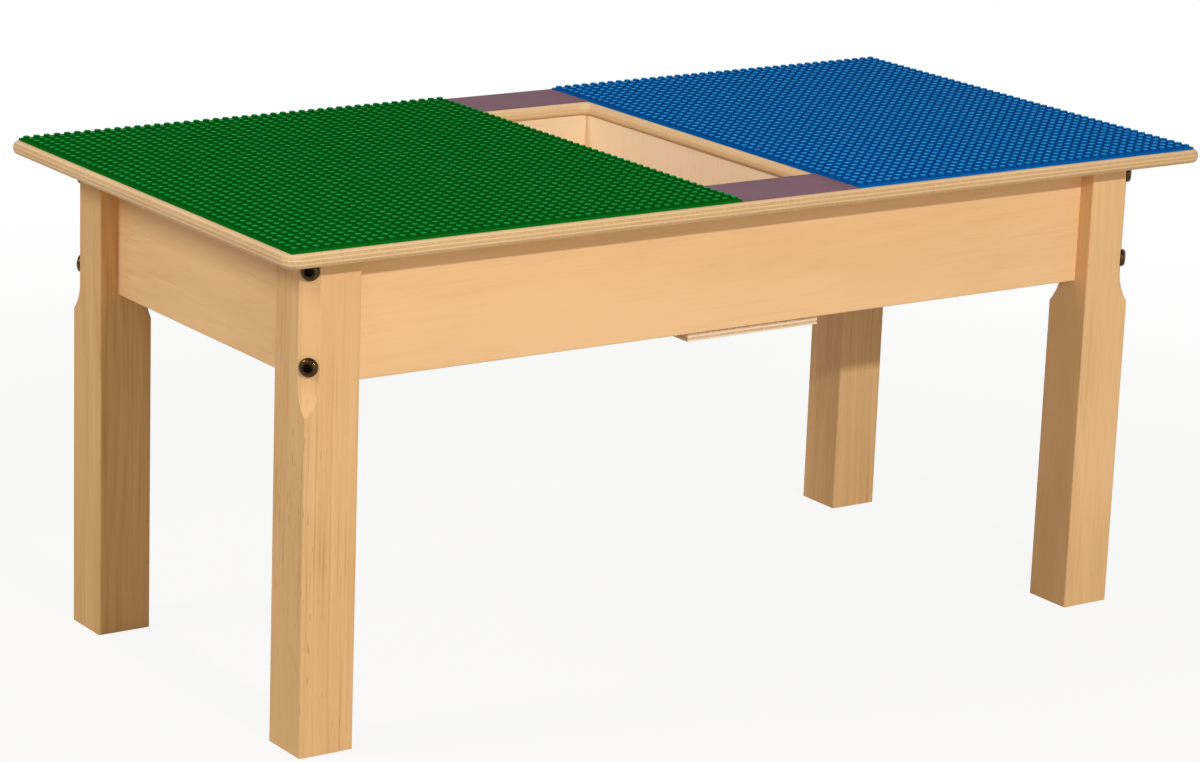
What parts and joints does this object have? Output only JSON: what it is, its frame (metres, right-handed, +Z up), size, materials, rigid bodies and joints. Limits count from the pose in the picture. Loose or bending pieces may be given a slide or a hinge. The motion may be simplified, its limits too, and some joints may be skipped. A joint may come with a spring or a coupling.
{
  "type": "play table",
  "caption": "Low wooden play table: a plywood top with green and blue studded building plates, a storage well between them, and square bolt-on legs.",
  "frame": {"origin": "on the floor, under the middle of the table top", "axes": "+X along the table from the green plate to the blue one, +Y from the front to the rear, +Z up"},
  "size_m": [0.775, 0.395, 0.3559],
  "materials": {
    "plywood": "clear satin lacquer on birch plywood",
    "board": "clear satin lacquer on maple",
    "leg_wood": "clear satin lacquer on maple",
    "cleat_wood": "plain sanded hardwood",
    "green_plastic": "moulded, glossy green",
    "blue_plastic": "moulded, glossy blue",
    "purple_strip": "matte muted purple, bare",
    "bronze_steel": "dark bronze coating",
    "zinc_steel": "zinc-plated steel"
  },
  "bodies": {
    "root": {"table_top": "plywood", "green_plate": "green_plastic", "blue_plate": "blue_plastic", "front_strip": "purple_strip", "rear_strip": "purple_strip", "bin_left_wall": "board", "bin_right_wall": "board", "bin_floor": "plywood", "leg_bolts": "bronze_steel", "bolt_tee_nuts": "zinc_steel", "block_screws": "zinc_steel", "cleat_screws": "zinc_steel", "floor_screws": "zinc_steel", "bin_dowels": "cleat_wood", "front_left_leg": "leg_wood", "front_left_block": "cleat_wood", "front_left_cleat": "cleat_wood", "front_right_leg": "leg_wood", "front_right_block": "cleat_wood", "front_right_cleat": "cleat_wood", "rear_right_leg": "leg_wood", "rear_right_block": "cleat_wood", "rear_right_cleat": "cleat_wood", "rear_left_leg": "leg_wood", "rear_left_block": "cleat_wood", "rear_left_cleat": "cleat_wood", "front_apron": "board", "rear_apron": "board", "left_apron": "board", "right_apron": "board", "left_cleat": "cleat_wood", "right_cleat": "cleat_wood"}
  },
  "joints": []
}
